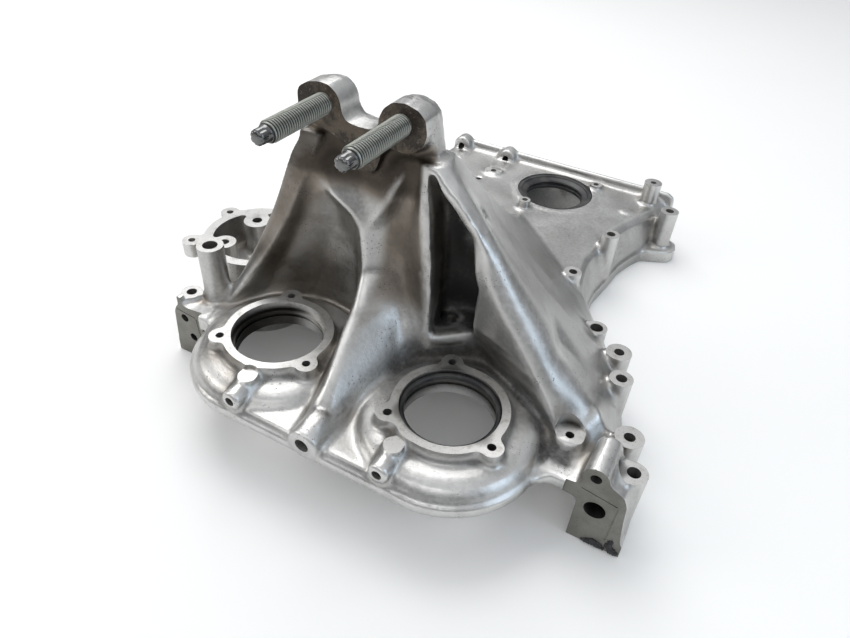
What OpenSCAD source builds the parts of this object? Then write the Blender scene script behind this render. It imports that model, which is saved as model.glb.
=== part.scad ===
// Cast aluminium timing cover with an integral engine mount tower, lying on its joint face.
// Lengths in mm. Modelled about the left cam opening, then moved so that the origin is
// the middle of the footprint on the joint face, with Z out of the engine.

/* [Cam openings] */
// distance between the two cam openings
cam_pitch = 119.2; // [110:0.1:130]
// bore of the opening rings
ring_bore = 57.6; // [50:0.1:60]
// height of the machined ring faces above the joint face
ring_z = 60.6; // [55:0.1:66]
// radius of the lobes round the openings
lobe_r = 56; // [52:0.5:60]
// radius of the circle the ring screws sit on
screw_circle_r = 35.2; // [34.5:0.1:37]

/* [Crank end] */
// bore of the crank seal housing
seal_bore = 68; // [60:0.5:76]
// shaft diameter the seal runs on
seal_shaft = 50; // [44:0.5:54]
// height of the deck round the crank seal
deck_z = 40.6; // [38:0.1:44]
// height of the rim along the far edge
rim_z = 48.6; // [45:0.1:54]

/* [Mount tower] */
// height of the two stud axes
stud_z = 193; // [186:0.5:200]
// stud thread diameter
stud_d = 12; // [10:1:14]
// length of thread standing out of the mount face
stud_out = 46; // [35:0.5:55]
// distance of the mount face behind the opening centres
mount_y = 41.2; // [38:0.1:45]

/* [Bolt bosses] */
// height of the flange bolt bosses
boss_z = 50.6; // [46:0.1:56]
// clearance hole of the flange bolts
bolt_d = 7; // [6:0.1:8]
// thickness of the joint flange
flange_t = 10; // [7:0.5:14]

/* [Hidden] */
$fn = 64;
origin = [51.1, 146.6, 0];
far_y = 350;
crank = [72, 306];
port = [-81, 77];
// the rings stand this far above the underside of the lobes
lobe_h = 25;
lobe_z = ring_z - lobe_h;
strip_t = 7;
stud_x = [11.1, 59.0];
stud_root = stud_d - 0.3;
// star drive at the end of each stud
star_d = 8.6;
star_h = 7.6;
// height of the studs above the ring face that the tower's lines are drawn for
drawn_rise = 132.4;
// coil of the crank seal: distance outside the shaft, depth below the deck, radius of its wire
coil_gap = 3.9;
coil_depth = 8.6;
coil_r = 0.8;
// bore under the crank seal, clear of the coil
seal_seat_r = seal_shaft / 2 + coil_gap + coil_r + 1.3;
// depth of the crank seal's seat and of the seats in the cam openings
crank_seat = 9;
ring_seat = 6;
// lugs and bosses named where more than one feature uses them
lug_x = [7.8, 105.4];
lug_z = ring_z - 9.6;
lug_r = 6.3;
mid_boss = [58.9, ring_z - 13.8];
leg_boss = [204.6, ring_z - 7.5];
tube = [-69, 20];
tube_top = ring_z + 26.8;
wing_boss = [182.5, 24];
screw_angles = [219.3, 115.4, -25.1];
port_ears = [[-120, 91], [-116, 46]];
rim_holes = [[-39.6, 44.2], [9, 43.2]];
cast_grey = [0.72, 0.71, 0.69];
steel_grey = [0.50, 0.53, 0.50];
rubber_black = [0.06, 0.06, 0.07];

// side walls as [y, right foot, left foot, right deck edge, left deck edge]
wall_rows = [
    [0, 229, -95, 223, -92], [26, 228.6, -97, 219, -92], [44, 221, -98, 207, -92],
    [66, 212, -99.5, 197, -92], [106, 199, -95, 184, -86], [136, 174, -89, 160, -79],
    [165, 156, -83, 146, -74], [190, 147, -78, 139, -70], [215, 145, -74.5, 135, -67],
    [245, 149, -70.5, 137, -63], [268, 151, -67, 141, -61], [288, 157, -64.5, 147, -58.5],
    [308, 165.5, -61.5, 156, -56], [328, 170, -57.5, 164, -53], [347, 172, -54, 168, -49]];
// hollow of the joint side, open to the front between the two end blocks
hollow_line = [
    [198, -9], [199, 27], [188, 50], [170, 96], [148, 126], [131, 168], [126, 212],
    [130, 258], [140, 296], [154, 336], [-44, 338], [-52, 296], [-58, 236], [-62, 190],
    [-70, 128], [-78, 106], [-66, 34], [-66, -9]];

// front edge of the tower at each height, as [height above the ring face, x, y],
// listed from the left wall to the right wall
tower_front = [
    [[-26, -74, 17], [-5, -61, 24], [10, -53, 28], [25, -46.5, 33], [40, -40, 37],
     [55, -33, 39], [70, -26.5, 40], [85, -20, 40.6], [100, -13.5, 41], [106, -8.4, 41.4],
     [114, -6.6, 41.8]],
    [[-26, -66, 10], [-5, -52, 19], [10, -42, 24], [25, -33, 29], [40, -25, 33],
     [55, -17, 35.5], [70, -11, 37.5], [85, -5, 39], [97, 1, 41.2], [114, 6, 42.2]],
    [[-26, -46, 30], [-5, -40, 40], [10, -33, 44], [25, -26, 44.5], [40, -18, 45],
     [55, -11, 45], [70, -5, 44.5], [85, -1, 42.5], [97, 2, 42], [108, 8, 48], [114, 9, 50]],
    [[-26, -19, 57], [-5, -16, 60], [10, -10, 59], [25, -4, 57], [40, 3, 55], [55, 9, 52],
     [70, 13, 47.5], [80, 7, 43], [97, 3, 43], [108, 12, 53], [114, 13, 55]],
    [[-26, 21, 56], [-5, 22, 58], [10, 24, 56], [25, 25, 53], [40, 26, 50], [55, 27, 46],
     [70, 25, 42.5], [80, 12, 41.5], [97, 4, 44], [108, 16, 54], [114, 17, 56]],
    [[-26, 46, -50], [-5, 50.5, -36], [2, 51.5, -26], [11, 47.5, -9], [22.5, 41, 20.5],
     [40, 37, 36.5], [64.5, 34, 39], [70, 31, 39.5], [80, 15.5, 40], [97, 6, 45],
     [108, 20, 54], [114, 21, 56]],
    [[-26, 58, -52], [-5, 56.5, -38.5], [2, 55, -28.5], [11, 51, -11.5], [22.5, 44.5, 18],
     [40, 40, 34], [64.5, 36.5, 37], [70, 36.5, 40], [80, 32, 45], [97, 30, 50],
     [114, 34, 56]],
    [[-26, 70, -50], [-5, 62.5, -36], [2, 58.5, -26], [11, 54.5, -9], [22.5, 48, 20.5],
     [40, 43, 36.5], [64.5, 39, 39], [70, 42, 39.5], [82, 49.6, 40.2], [97, 57, 42],
     [104, 60, 44], [114, 62, 46]],
    [[-26, 75, -20], [-5, 68, -8], [5, 65, 6], [15, 60, 22], [25, 56, 34], [40, 51, 42],
     [55, 49, 45], [70, 51, 47], [85, 57, 49], [97, 61, 48], [114, 66, 46.5]],
    [[-26, 77, 12], [-5, 73, 20], [5, 70, 28], [15, 66, 36], [25, 63, 41], [40, 60, 45],
     [55, 60, 47], [70, 61, 48], [85, 64, 49], [97, 66, 47], [114, 69, 45]],
    [[-26, 81, 31], [-5, 79, 33], [5, 78, 35], [15, 76, 38], [25, 75, 40], [40, 73, 41],
     [55, 71, 42], [70, 70, 43], [85, 70, 43.5], [97, 71, 43], [114, 72, 43]],
    [[-26, 86, 38], [-5, 86.5, 36.5], [8, 87, 34.7], [34, 86, 35.5], [68, 82, 38],
     [100, 76.3, 41.2], [114, 74.3, 41.8]],
    [[-26, 134, 51], [-5, 114, 55], [8, 105, 53], [20, 108, 44], [52, 113, 38],
     [83, 105, 38], [90, 97, 38.8], [100, 86, 40.2], [108, 79, 41.4], [114, 76, 42]],
    [[-26, 192, 14], [-17, 186, 17], [-5, 177, 21], [10, 166, 23], [25, 155, 25],
     [40, 144, 27], [55, 130, 30], [70, 120, 33], [85, 112, 35.5], [100, 98, 38],
     [108, 86, 41], [114, 79, 43]]];
// back edge of the tower, one line behind each line of the front
tower_back = [
    [[-26, -50, 42], [40, -33, 48], [114, -5, 55]],
    [[-26, -42, 65], [40, -24, 66], [114, 4, 62]],
    [[-26, -36, 95], [40, -14, 84], [114, 12, 65]],
    [[-26, -24, 135], [40, 0, 103], [114, 20, 66]],
    [[-26, -8, 178], [40, 16, 117], [114, 30, 67]],
    [[-26, 5, 200], [40, 28, 126], [114, 39, 67]],
    [[-26, 18, 215], [40, 40, 133], [114, 48, 67]],
    [[-26, 30, 230], [40, 52, 140], [114, 58, 67]],
    [[-26, 44, 246], [-5, 56, 214], [40, 65, 147], [114, 68, 67]],
    [[-26, 58, 260], [-5, 69, 221], [10, 74, 196], [25, 77, 173], [40, 79, 152],
     [55, 79, 134], [70, 79, 116], [85, 79, 98], [100, 79, 82], [114, 78, 66]],
    [[-26, 102, 216], [-5, 100, 188], [10, 96, 170], [40, 90, 136], [70, 86, 106],
     [100, 81.5, 77], [114, 79.5, 63]],
    [[-26, 147, 172], [-5, 128, 155], [10, 116, 143], [25, 107, 132], [40, 101, 120],
     [55, 97, 106], [70, 93, 95], [85, 89, 83], [100, 84, 72], [114, 81, 59]],
    [[-26, 190, 108], [-5, 170, 102], [10, 156, 96], [25, 143, 90], [40, 131, 84],
     [55, 120, 77], [70, 110, 70], [85, 101, 65], [100, 91, 60], [114, 82, 54]],
    [[-26, 209, 40], [-5, 194, 42], [10, 180, 44], [25, 166, 45], [40, 152, 45],
     [55, 138, 45], [70, 126, 46], [85, 114, 47], [100, 98, 49], [108, 89, 48],
     [114, 82, 48]]];
tower_levels = [-26, -16, -5, 2, 8, 15, 22.5, 31, 40, 52, 64.5, 70, 80, 90, 97, 102, 108, 114];

// deep pocket between the sharp ridge and the right wall
pocket_levels = [
    [8, [88, 24], [108, 40], [104, 76], [77, 70]],
    [30, [87.4, 26], [111, 30], [107, 75], [77, 70]],
    [52, [85.4, 27], [113.4, 27], [108, 72], [77, 70]],
    [83, [80.4, 29], [105.8, 27], [98, 66], [75, 64]],
    [100, [77.4, 31], [88, 30], [84, 56], [75, 55]],
    [110, [76, 35], [78.6, 35], [78.2, 46], [75.8, 46]]];

// hollows of the tower on the joint side
core_back = [
    [-27, [-29, 78], [20, 70], [68, 88], [112, 90], [146, 108], [128, 160], [58, 232],
     [16, 190], [-14, 130]],
    [30, [-2, 74], [24, 66], [66, 86], [100, 90], [114, 92], [98, 120], [76, 152],
     [32, 126], [2, 98]],
    [68, [14, 70], [27, 66], [60, 86], [82, 88], [92, 84], [88, 92], [78, 106],
     [42, 94], [16, 77]]];
core_right = [
    [-27, [124, 64], [180, 29], [194, 45], [172, 96], [130, 86]],
    [22, [124, 60], [146, 38], [157, 47], [137, 80], [122, 78]]];
core_pocket = [
    [-27, [84, 50], [104, 62], [104, 82], [80, 82]],
    [1, [86, 52], [102, 62], [102, 80], [82, 80]]];

// outline of the raised mount pad, seen from the front, with the studs at drawn_rise
pad_line = [
    [-5.3, 126], [-5.3, 135.5], [-3.8, 138.6], [1.9, 142.1], [8.9, 143.6], [15.3, 143.2],
    [19.9, 139.8], [22.1, 135.7], [23.1, 129.8], [25.7, 126], [33.7, 125.2], [40.8, 125.4],
    [45.2, 128.5], [45.7, 133.3], [48.3, 138.5], [53.4, 142.8], [61, 144], [68.6, 141.8],
    [72.6, 138], [73.9, 130.4], [72, 124], [67, 119.5], [60, 117.6], [53, 118.5],
    [47.5, 115.5], [46, 109], [43.5, 103], [38.5, 99.8], [33.5, 99.8], [28.5, 103],
    [26, 110], [20, 115.5], [12, 118.6], [4, 120], [-3, 122]];
// outline of the horns behind the pad
horn_line = [
    [-7.5, 102], [-6.4, 113], [-5, 126], [-5, 134.8], [-3.4, 137.8], [2.1, 141.2],
    [8.9, 142.6], [15.1, 142.2], [19.5, 139.1], [21.6, 135.3], [22.6, 129.6], [25.5, 125.2],
    [33.7, 124.4], [41, 124.6], [45.7, 128.3], [46.2, 133], [48.7, 137.8], [53.6, 141.9],
    [61, 143], [68.3, 140.9], [72.1, 137.3], [73.6, 130.2], [75.5, 120], [77.5, 112],
    [78, 102]];

// height of the tower's levels: above the ring face they follow the stud height
function rise(z) = ring_z + (z > 0 ? z * (stud_z - ring_z) / drawn_rise : z);

function at(line, z) = [
    lookup(z, [for (p = line) [p[0], p[1]]]),
    lookup(z, [for (p = line) [p[0], p[2]]])];

module place() {
    translate(-origin) children();
}

module cylinder_y(x, z, r, y0, y1) {
    translate([x, y1, z]) rotate([90, 0, 0]) cylinder(r = r, h = y1 - y0);
}

module post(p, r, z0, z1) {
    translate([p[0], p[1], z0]) cylinder(r = r, h = z1 - z0);
}

// solid between rows of points: each row is a list of front points and back points
module strip_loft(rows) {
    m = len(rows[0]) / 2;
    n = 2 * m;
    points = [for (row = rows) each row];
    last = (len(rows) - 1) * n;
    ring = [for (i = [0:m - 1]) i, for (i = [m - 1:-1:0]) m + i];
    sides = [
        for (k = [0:len(rows) - 2])
            for (i = [0:n - 1])
                let(a = k * n + ring[i], b = k * n + ring[(i + 1) % n])
                each [[a, b + n, b], [a, a + n, b + n]]];
    floor_faces = [
        for (i = [0:m - 2]) each [[i, i + 1, m + i + 1], [i, m + i + 1, m + i]]];
    roof_faces = [
        for (f = floor_faces) [f[2] + last, f[1] + last, f[0] + last]];
    polyhedron(points = points, faces = concat(sides, floor_faces, roof_faces));
}

// solid between rows of convex outlines
module outline_loft(rows) {
    n = len(rows[0]);
    points = [for (row = rows) each row];
    last = (len(rows) - 1) * n;
    sides = [
        for (k = [0:len(rows) - 2])
            for (i = [0:n - 1])
                let(a = k * n + i, b = k * n + (i + 1) % n)
                each [[a, b + n, b], [a, a + n, b + n]]];
    floor_faces = [for (i = [1:n - 2]) [0, i, i + 1]];
    roof_faces = [for (i = [1:n - 2]) [last, last + i + 1, last + i]];
    polyhedron(points = points, faces = concat(sides, floor_faces, roof_faces));
}

module level_loft(levels) {
    outline_loft([
        for (row = levels)
            [for (i = [1:len(row) - 1]) [row[i][0], row[i][1], rise(row[0])]]]);
}

module tower() {
    strip_loft([
        for (z = tower_levels)
            concat(
                [for (line = tower_front) [at(line, z)[0], at(line, z)[1], rise(z)]],
                [for (line = tower_back) [at(line, z)[0], at(line, z)[1], rise(z)]])]);
}

module plate_y(line, y0, y1) {
    translate([0, y1, stud_z - drawn_rise]) rotate([90, 0, 0]) linear_extrude(y1 - y0) polygon(line);
}

module mount_head() {
    plate_y(pad_line, mount_y, mount_y + 14);
    plate_y(horn_line, mount_y + 9, mount_y + 19.5);
}

module lobe() {
    rotate_extrude()
        polygon([
            [20, lobe_z], [lobe_r, lobe_z], [lobe_r, lobe_z + strip_t],
            [lobe_r - 2.6, lobe_z + strip_t + 0.6], [lobe_r - 4.2, lobe_z + 11.5],
            [lobe_r - 7.5, lobe_z + 15], [lobe_r - 13, lobe_z + 16.8], [34.4, lobe_z + 17.4],
            [33.4, ring_z], [20, ring_z]]);
    for (a = screw_angles)
        post(screw_circle_r * [cos(a), sin(a)], 6.6, lobe_z + 8, ring_z);
}

module lobe_hollow() {
    rotate_extrude()
        polygon([
            [0, lobe_z - 1], [lobe_r - 6.5, lobe_z - 1], [lobe_r - 8.5, lobe_z + 7],
            [lobe_r - 14, lobe_z + 11], [34, lobe_z + 12], [34, lobe_z + 8],
            [0, lobe_z + 8]]);
}

module screw_hole(p, d, z_top, depth) {
    translate([p[0], p[1], z_top - depth]) cylinder(d = d, h = depth + 1);
}

// flange bolt bosses: position, radius, top, hole
bosses = [
    [[220.6, 17], 7.6, boss_z, 7.6], [[212, 40], 8.2, boss_z, 6.6],
    [[195, 84], 7.1, boss_z, bolt_d], [[187, 107], 7.9, boss_z, 6.6],
    [[167, 123], 6.9, boss_z, 8.6], [[132, 177], 6.3, boss_z, 6.2],
    [[141, 245], 6.8, boss_z, bolt_d], [[173, 321], 7.5, boss_z - 5, bolt_d],
    [[-86, 12], 7, boss_z - 3, bolt_d]];
// bosses inside the accessory port: position, radius, hole
port_bosses = [[[-95, 57], 8, 6.6], [[-95, 93], 9.8, 7.4]];
// bosses standing on the deck: position, radius, top, hole, depth
deck_bosses = [
    [[151, 335], 7.2, deck_z + 20, 5, 20], [[59, 262], 4.6, deck_z + 8, 5, 7],
    [[102, 333], 5.2, deck_z + 4.4, 5, 10], [[8.5, 309], 7.2, deck_z + 1.6, 5.5, 6],
    [[139, 307], 5.2, deck_z + 1, 0, 0], [wing_boss, 8, boss_z, 5, 12]];

module end_leg() {
    // block with the joint face towards the valve cover
    translate([0, 24, 0]) rotate([90, 0, 0]) linear_extrude(24)
        polygon([
            [209, 0], [229, 0], [226.5, 16], [224.6, 30], [223.6, 42], [221, 48],
            [216, 50.5], [208, 53], [199.6, 50], [197, 44], [196.5, 36.4], [199.4, 35.4],
            [199.2, 27], [201.5, 21.5], [205.5, 18.2], [207.4, 12]]);
}

module end_plate() {
    translate([0, 11, 0]) rotate([90, 0, 0]) linear_extrude(11)
        polygon([[-96, 0], [-62, 0], [-60, 46], [-86, 43], [-90.5, 41], [-92.5, 36]]);
}

module accessory_port() {
    post(port, 39, 0.4, ring_z);
    for (p = port_ears) {
        post(p, 6.8, ring_z - 12, ring_z - 0.1);
        translate([p[0], p[1], ring_z - 11])
            rotate([0, 0, atan2(port[1] - p[1], port[0] - p[0])])
            translate([0, -6.2, 0]) cube([20, 12.4, 10.4]);
    }
}

module port_hollow() {
    difference() {
        post(port, 32.6, ring_z - 26, ring_z + 1);
        for (b = port_bosses) post(b[0], b[1], ring_z - 30, ring_z - 0.3);
    }
    post(port, 31, -1, ring_z - 33);
}

module far_rim() {
    translate([0, far_y, 0]) rotate([90, 0, 0]) linear_extrude(5)
        polygon([
            [-54, 0], [172, 0], [172, 40], [170.5, 45.4], [165, rim_z], [-40, rim_z],
            [-48, 44], [-51, 36]]);
}

// drafted walls from the flange up to the deck, with the flange round their foot
module shell() {
    function row(i, z, inset) = concat(
        [for (w = wall_rows) [w[i] - inset, w[0], z]],
        [for (w = wall_rows) [w[i + 1] + inset, w[0], z]]);
    strip_loft([
        row(1, 2, 2), row(1, flange_t + 4, 3.5), row(3, deck_z - 5, 0), row(3, deck_z, 5)]);
    linear_extrude(flange_t) polygon(concat(
        [for (w = wall_rows) [w[1], w[0]]],
        [for (i = [len(wall_rows) - 1:-1:0]) [wall_rows[i][2], wall_rows[i][0]]]));
    // corner ear of the flange
    linear_extrude(11) polygon([
        [160, 300], [178, 309], [186, 314], [188, 322], [186, 331], [178, 337], [165, 340]]);
}

// straight flange between the lobes and the deck on it
module front_strip() {
    translate([5, -lobe_r + 0.4, lobe_z + 0.2]) cube([109, 60, strip_t - 0.4]);
    translate([4, -lobe_r + 3.4, lobe_z + 0.4]) cube([111, 58, 9.6]);
    translate([-62, -2, lobe_z + 0.6]) cube([261, 30, 8]);
    translate([54, -48, ring_z - 12]) cube([10, 10, 9]);
    // fillets of the strip between the lobes and the end blocks
    translate([0, 0, lobe_z + 0.3]) linear_extrude(strip_t - 0.7) {
        polygon([
            [163, -32], [170.9, -20.8], [173.4, -12], [176.8, -6.4], [181.5, -2.6],
            [188.6, -0.7], [198, -0.4], [198, 12], [150, 12]]);
        polygon([
            [-44, -32], [-51.7, -20.8], [-54.2, -12], [-56.8, -6], [-60, -2.4], [-64, -0.6],
            [-70, -0.4], [-70, 12], [-30, 12]]);
    }
}

// round bosses with their axes along Y: the middle boss, the threaded bosses, the leg boss
module front_bosses() {
    cylinder_y(mid_boss[0], mid_boss[1], 9.6, -56.8, -18);
    for (x = lug_x) {
        cylinder_y(x, lug_z, lug_r, -55.2, -34);
        post([x, -38.4], lug_r - 0.3, lobe_z + 2, lug_z + lug_r + 0.9);
    }
    cylinder_y(leg_boss[0], leg_boss[1], 7.2, -0.3, 27);
    for (p = rim_holes) {
        cylinder_y(p[0], p[1], 8.4, 337, far_y - 0.2);
        cylinder_y(p[0], p[1] - 3, 8, 318, far_y - 6);
    }
}

module crank_housing() {
    post(crank, 42, deck_z - 14, deck_z - 0.7);
    post(crank, 38, deck_z - 13, deck_z + 0.6);
}

// all the flat sided and freely shaped parts of the casting, joined as one faceted solid
module cast_body() {
    resize([0, 0, 0])
    difference() {
        union() {
            shell();
            tower();
            front_strip();
            far_rim();
            end_leg();
            end_plate();
            mount_head();
        }
        translate([0, 0, -1]) linear_extrude(lobe_z - 1) polygon(hollow_line);
        level_loft(core_back);
        level_loft(core_right);
        level_loft(core_pocket);
        level_loft(pocket_levels);
    }
}

module cover_casting() {
    color(cast_grey)
    place()
    difference() {
        union() {
            cast_body();
            for (x = [0, cam_pitch]) translate([x, 0, 0]) lobe();
            front_bosses();
            crank_housing();
            accessory_port();
            post(tube, 8.4, 20, tube_top);
            for (b = bosses) post(b[0], b[1], 3, b[2]);
            for (b = deck_bosses) post(b[0], b[1], deck_z - 6, b[2]);
        }
        for (x = [0, cam_pitch]) translate([x, 0, 0]) lobe_hollow();
        port_hollow();
        // cam openings: stepped bores and the screw holes round them
        for (x = [0, cam_pitch]) translate([x, 0, 0]) {
            post([0, 0], ring_bore / 2, ring_z - ring_seat, ring_z + 1);
            post([0, 0], ring_bore / 2 - 1.8, lobe_z - 2, ring_z - ring_seat + 1);
            post([0, 0], ring_bore / 2 - 0.6, ring_z - 10.4, ring_z - 8);
            for (a = screw_angles)
                screw_hole(screw_circle_r * [cos(a), sin(a)], 5, ring_z, 14);
        }
        // crank seal housing
        post(crank, seal_bore / 2, deck_z - crank_seat, deck_z + 2);
        post(crank, seal_seat_r, deck_z - crank_seat - 7, deck_z - crank_seat + 1);
        // bolt holes
        for (b = bosses) screw_hole(b[0], b[3], b[2], b[2] + 1);
        for (b = deck_bosses) if (b[3] > 0) screw_hole(b[0], b[3], b[2], b[4]);
        screw_hole(tube, 9.8, tube_top, 60);
        for (p = port_ears) screw_hole(p, 5, ring_z, 13);
        for (b = port_bosses) screw_hole(b[0], b[2], ring_z, 22);
        screw_hole([86, 62], 12, ring_z + 8, 20);
        screw_hole([2, 290], 4.5, deck_z, 9);
        // holes of the front joint
        cylinder_y(mid_boss[0], mid_boss[1], 4.3, -60, -12);
        for (x = lug_x) cylinder_y(x, lug_z, 2.9, -58, -40);
        cylinder_y(leg_boss[0], leg_boss[1], 3.1, -2, 16);
        cylinder_y(208.9, ring_z - 31.3, 6.1, -2, 20);
        cylinder_y(-84, ring_z - 27.3, 3.1, -2, 7);
        cylinder_y(-79.2, ring_z - 42.5, 3.1, -2, 7);
        for (p = rim_holes) cylinder_y(p[0], p[1], 3.1, 312, far_y + 2);
        // tapped holes of the mount face
        for (x = stud_x) cylinder_y(x, stud_z, stud_root / 2, mount_y - 2, mount_y + 15);
        for (x = stud_x) cylinder_y(x, stud_z, stud_d / 2 + 0.15, mount_y - 2, mount_y + 1);
        cylinder_y(36, stud_z - 22.9, 5.1, mount_y - 2, mount_y + 16);
        // clear space over the boss at the foot of the right wing
        post(wing_boss, 9.6, boss_z + 0.05, boss_z + 15);
    }
}

module stud(x) {
    // threaded shank with a chamfered end and an external star drive
    cylinder_y(x, stud_z, stud_d / 2, mount_y - stud_out, mount_y - 0.3);
    cylinder_y(x, stud_z, stud_root / 2, mount_y - 1, mount_y + 15);
    translate([x, mount_y - stud_out, stud_z]) rotate([90, 0, 0]) {
        cylinder(r1 = stud_d / 2, r2 = stud_d / 2 - 1.4, h = 1.6);
        difference() {
            cylinder(d = star_d, h = star_h);
            for (a = [0:60:300])
                rotate([0, 0, a]) translate([star_d / 2 + 0.45, 0, 2]) cylinder(r = 1.25, h = star_h + 0.4);
        }
    }
}

module mount_studs() {
    color(steel_grey) place() for (x = stud_x) stud(x);
}

module crank_seal() {
    // rubber covered case with a dust lip, seated in the housing
    color(rubber_black)
    place()
    translate([crank[0], crank[1], deck_z])
    difference() {
        rotate_extrude()
            polygon([
                [seal_bore / 2, -crank_seat], [seal_bore / 2, -0.9], [seal_bore / 2 - 0.7, -0.2],
                [seal_bore / 2 - 3.6, -0.2], [seal_bore / 2 - 4, -1.2],
                [seal_bore / 2 - 4.8, -1.4], [seal_shaft / 2 + 1.2, -2.6],
                [seal_shaft / 2, -3.6], [seal_shaft / 2 + 0.6, -4.4],
                [seal_shaft / 2 + 2.4, -4.6], [seal_shaft / 2 + 2.4, -6],
                [seal_shaft / 2 + 0.5, -7], [seal_shaft / 2 + 0.1, -7.8],
                [seal_shaft / 2 + 1.4, -10.4], [seal_shaft / 2 + 3.4, -10.4],
                [seal_shaft / 2 + 3.8, -5.8], [seal_bore / 2 - 3.6, -4.4],
                [seal_bore / 2 - 3.6, -crank_seat]]);
        garter_ring();
    }
}

// coil of the main lip, drawn as a plain ring
module garter_ring() {
    rotate_extrude() translate([seal_shaft / 2 + coil_gap, -coil_depth]) circle(r = coil_r);
}

module garter_spring() {
    color(steel_grey)
    place()
    translate([crank[0], crank[1], deck_z])
    garter_ring();
}

module opening_seal() {
    // rubber ring left in the right cam opening
    color(rubber_black)
    place()
    translate([cam_pitch, 0, ring_z])
    rotate_extrude()
        polygon([
            [ring_bore / 2, -ring_seat], [ring_bore / 2, -3], [ring_bore / 2 - 0.8, -2.2],
            [ring_bore / 2 - 2, -2.2], [ring_bore / 2 - 3, -3], [ring_bore / 2 - 3, -5.4],
            [ring_bore / 2 - 2.4, -ring_seat]]);
}

cover_casting();
mount_studs();
crank_seal();
garter_spring();
opening_seal();
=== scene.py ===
"""Looks of the timing cover: smooth cast skin, machined faces, threads, seals, staining and dirt,
with painted shade and painted highlights.
"""
import math

import bmesh
import bpy
import numpy as np
import openvdb
from mathutils import Matrix, Vector


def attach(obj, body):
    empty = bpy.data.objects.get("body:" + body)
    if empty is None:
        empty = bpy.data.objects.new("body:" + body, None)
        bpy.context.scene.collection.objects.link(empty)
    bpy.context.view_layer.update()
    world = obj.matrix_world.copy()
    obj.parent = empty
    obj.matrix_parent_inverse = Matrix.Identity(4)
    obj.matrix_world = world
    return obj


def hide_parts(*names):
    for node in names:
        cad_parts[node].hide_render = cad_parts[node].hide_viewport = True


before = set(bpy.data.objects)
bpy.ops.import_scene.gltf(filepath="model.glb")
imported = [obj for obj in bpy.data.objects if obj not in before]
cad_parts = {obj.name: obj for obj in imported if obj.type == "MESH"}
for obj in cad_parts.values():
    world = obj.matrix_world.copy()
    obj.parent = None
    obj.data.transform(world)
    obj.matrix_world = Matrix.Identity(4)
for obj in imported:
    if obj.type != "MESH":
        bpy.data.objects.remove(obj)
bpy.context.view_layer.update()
scene = bpy.context.scene

# The part is described about the left cam opening, in mm, as in its source.
ORIGIN = np.array([51.1, 146.6, 0.0])
MM_PER_METRE = 1000.0
UP = (0, 0, 1)
FORWARD = (0, -1, 0)
BACKWARD = (0, 1, 0)
# heights of the ring faces, the lobes, the deck and most bosses
RING_Z = 60.6
LOBE_Z = 35.6
DECK_Z = 40.6
BOSS_Z = 50.6
# mount face and its studs
MOUNT_Y = 41.2
STUD_Z = 193.0
STUD_X = (11.1, 59.0)
STUD_R = 6.0
# cam openings, crank opening and the tube beside the port
CAM_PITCH = 119.2
CAM_X = (0.0, CAM_PITCH)
CRANK = (72.0, 306.0)
TUBE = (-69.0, 20.0)
TUBE_R = 8.7
TUBE_HOLE = 9.8
TUBE_TOP = RING_Z + 26.8
# lugs at the front
LUG_X = (7.8, 105.4)
LUG_Y = -38.4
LUG_Z = RING_Z - 9.6
LUG_R = 6.3
LUG_TOP = LUG_Z + LUG_R + 0.9
# port bowl on the left
PORT = (-81.0, 77.0)
PORT_R = 39.2
PORT_BORE = 32.4
PORT_EAR_R = 7.0
# cam rings with their screw ears
RING_R = 33.7
RING_EAR_R = 6.8
SCREW_ANGLES = (219.3, 115.4, -25.1)
SCREW_R = 35.2
SCREW_HOLE = 5.0
# radii of the openings and of what lies under them, and depths of their seats
CAM_BORE = 28.8
CAM_STEP = 27.0
CAM_GROOVE = 28.2
CAM_SEAT = 6.0
CRANK_BORE = 34.0
CRANK_STEP = 31.0
CRANK_SEAT = 9.0
# cutters on one axis are turned by these shares of a segment, so that no two edges meet
BORE_TURN = 0.37
STEP_TURN = 0.71
GROOVE_TURN = 0.19
# x and z of round parts along Y
MID_BOSS = (58.9, RING_Z - 13.8)
LEG_BOSS = (204.6, RING_Z - 7.5)
LEG_HOLE = (208.9, RING_Z - 31.3)
THIRD_HOLE = (36.0, RING_Z + 109.5)
THIRD_HOLE_R = 5.1
RIM_HOLES = [(-39.6, 44.2), (9.0, 43.2)]
RIM_HOLE_R = 3.1
RIM_EAR_R = 8.6
RIM_FACE = 336.5
RIM_BACK = 349.8
# thread of the studs: what stands out of the mount face and what lies behind it
THREAD_PITCH = 1.75
THREAD_DEPTH = 1.05
THREAD_OUT = 46.0
THREAD_IN = 12.0
# what is faced off a boss, and how far the cutters of faces and holes reach out
STOCK = 4.0
BOSS_CUT = 8.0
FACE_CUT = 9.0
WING_BOSS_CUT = 30.0
CUTTER_OUT = 12.0
# the casting's grid and the triangles kept before it is machined
VOXEL = 1.25
BAND = 9.0
SKIN_TRIANGLES = 140000.0
# material slots of the casting's machined faces; slot 0 is the cast skin
FACED = 1
PAD_FACE = 2
JOINT_FACE = 3

# position, radius, top, hole
FLANGE_BOSSES = [
    ((220.6, 17.0), 7.6, BOSS_Z, 7.6), ((212.0, 40.0), 8.2, BOSS_Z, 6.6),
    ((195.0, 84.0), 7.1, BOSS_Z, 7.0), ((187.0, 107.0), 7.9, BOSS_Z, 6.6),
    ((167.0, 123.0), 6.9, BOSS_Z, 8.6), ((132.0, 177.0), 6.3, BOSS_Z, 6.2),
    ((141.0, 245.0), 6.8, BOSS_Z, 7.0), ((173.0, 321.0), 7.5, 45.6, 7.0),
    ((-86.0, 12.0), 7.0, 47.6, 7.0)]
WING_BOSS = (182.5, 24.0)
WING_PIT = (160.0, 54.5)
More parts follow.
